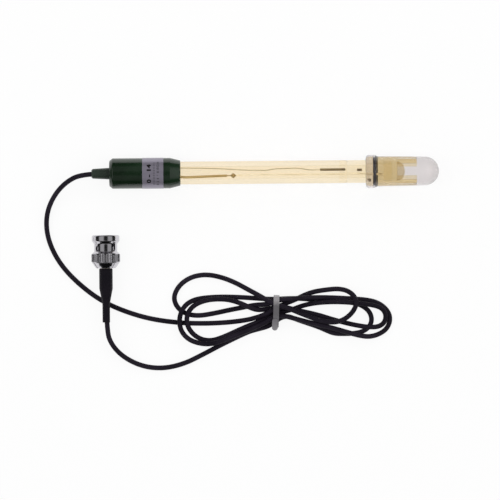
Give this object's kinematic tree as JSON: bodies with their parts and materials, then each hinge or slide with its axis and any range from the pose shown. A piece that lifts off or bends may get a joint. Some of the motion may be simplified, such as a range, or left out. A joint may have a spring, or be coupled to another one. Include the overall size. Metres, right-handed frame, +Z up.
{
  "type": "ph electrode",
  "caption": "Combination pH electrode with a capped glass bulb in an amber tube, a green head, and a coax lead tied in a hank with a bayonet plug.",
  "frame": {"origin": "on the floor, under the middle of the electrode from the nib's tail to the end of the storage cap", "axes": "+X along the electrode towards its capped tip, +Y towards the front of the plug's axis, +Z up"},
  "size_m": [0.2075, 0.1122, 0.0174],
  "materials": {
    "amber_plastic": "clear amber, polished",
    "sensing_glass": "clear",
    "clear_cap": "clear and slightly milky",
    "ring_rubber": "black",
    "head_green": "dark green, satin",
    "nib_green": "dark green, matt",
    "foil": "brushed foil",
    "silver_wire": "drawn wire",
    "silver_chloride": "dark coating",
    "lead_insulation": "amber",
    "solder": "dull",
    "screen_copper": "stranded",
    "pale_silicone": "translucent",
    "porous_plug": "porous",
    "cord_black": "semi-gloss",
    "tie_grey": "satin",
    "nickel": "bright",
    "spring_bronze": "spring",
    "white_insulator": "waxy white",
    "gold_contact": "gilt",
    "gasket_rubber": "grey"
  },
  "bodies": {
    "electrode": {"shaft_tube": "amber_plastic", "tip_guard": "amber_plastic", "glass_half_cell": "sensing_glass", "head_cap": "head_green", "strain_relief": "nib_green", "head_label": "foil", "inner_wire": "silver_wire", "reference_wire": "silver_wire", "inner_element": "silver_chloride", "reference_element": "silver_chloride", "signal_lead": "lead_insulation", "signal_joint": "solder", "screen_joint": "solder", "screen_lead": "screen_copper", "stem_stopper": "pale_silicone", "cell_plug": "pale_silicone", "tip_seal": "pale_silicone", "inner_junction": "porous_plug", "liquid_junction": "porous_plug", "cord_lead": "cord_black", "plug_lead": "cord_black", "cord_hank": "cord_black", "plug_boot": "cord_black", "cord_tie": "tie_grey", "plug_body": "nickel", "wave_washer": "spring_bronze", "crimp_ferrule": "spring_bronze", "plug_insulator": "white_insulator", "plug_core": "white_insulator", "centre_pin": "gold_contact", "plug_gasket": "gasket_rubber"},
    "cap": {"storage_cap": "clear_cap", "cap_o_ring": "ring_rubber"},
    "nut_carrier": {"thrust_washer": "nickel"},
    "nut": {"coupling_nut": "nickel"}
  },
  "joints": [
    {"name": "cap_pull", "type": "slide", "parent": "electrode", "child": "cap", "axis": [1, 0, 0], "range_m": [0, 0.06]},
    {"name": "nut_slide", "type": "slide", "parent": "electrode", "child": "nut_carrier", "axis": [0, 1, 0], "range_m": [0, 0.0008], "stiffness_N_per_m": 3000, "deforming": ["wave_washer"]},
    {"name": "nut_turn", "type": "hinge", "parent": "nut_carrier", "child": "nut", "pos_m": [-0.084, -0.0442, 0.00755], "axis": [0, 1, 0], "continuous": true}
  ]
}
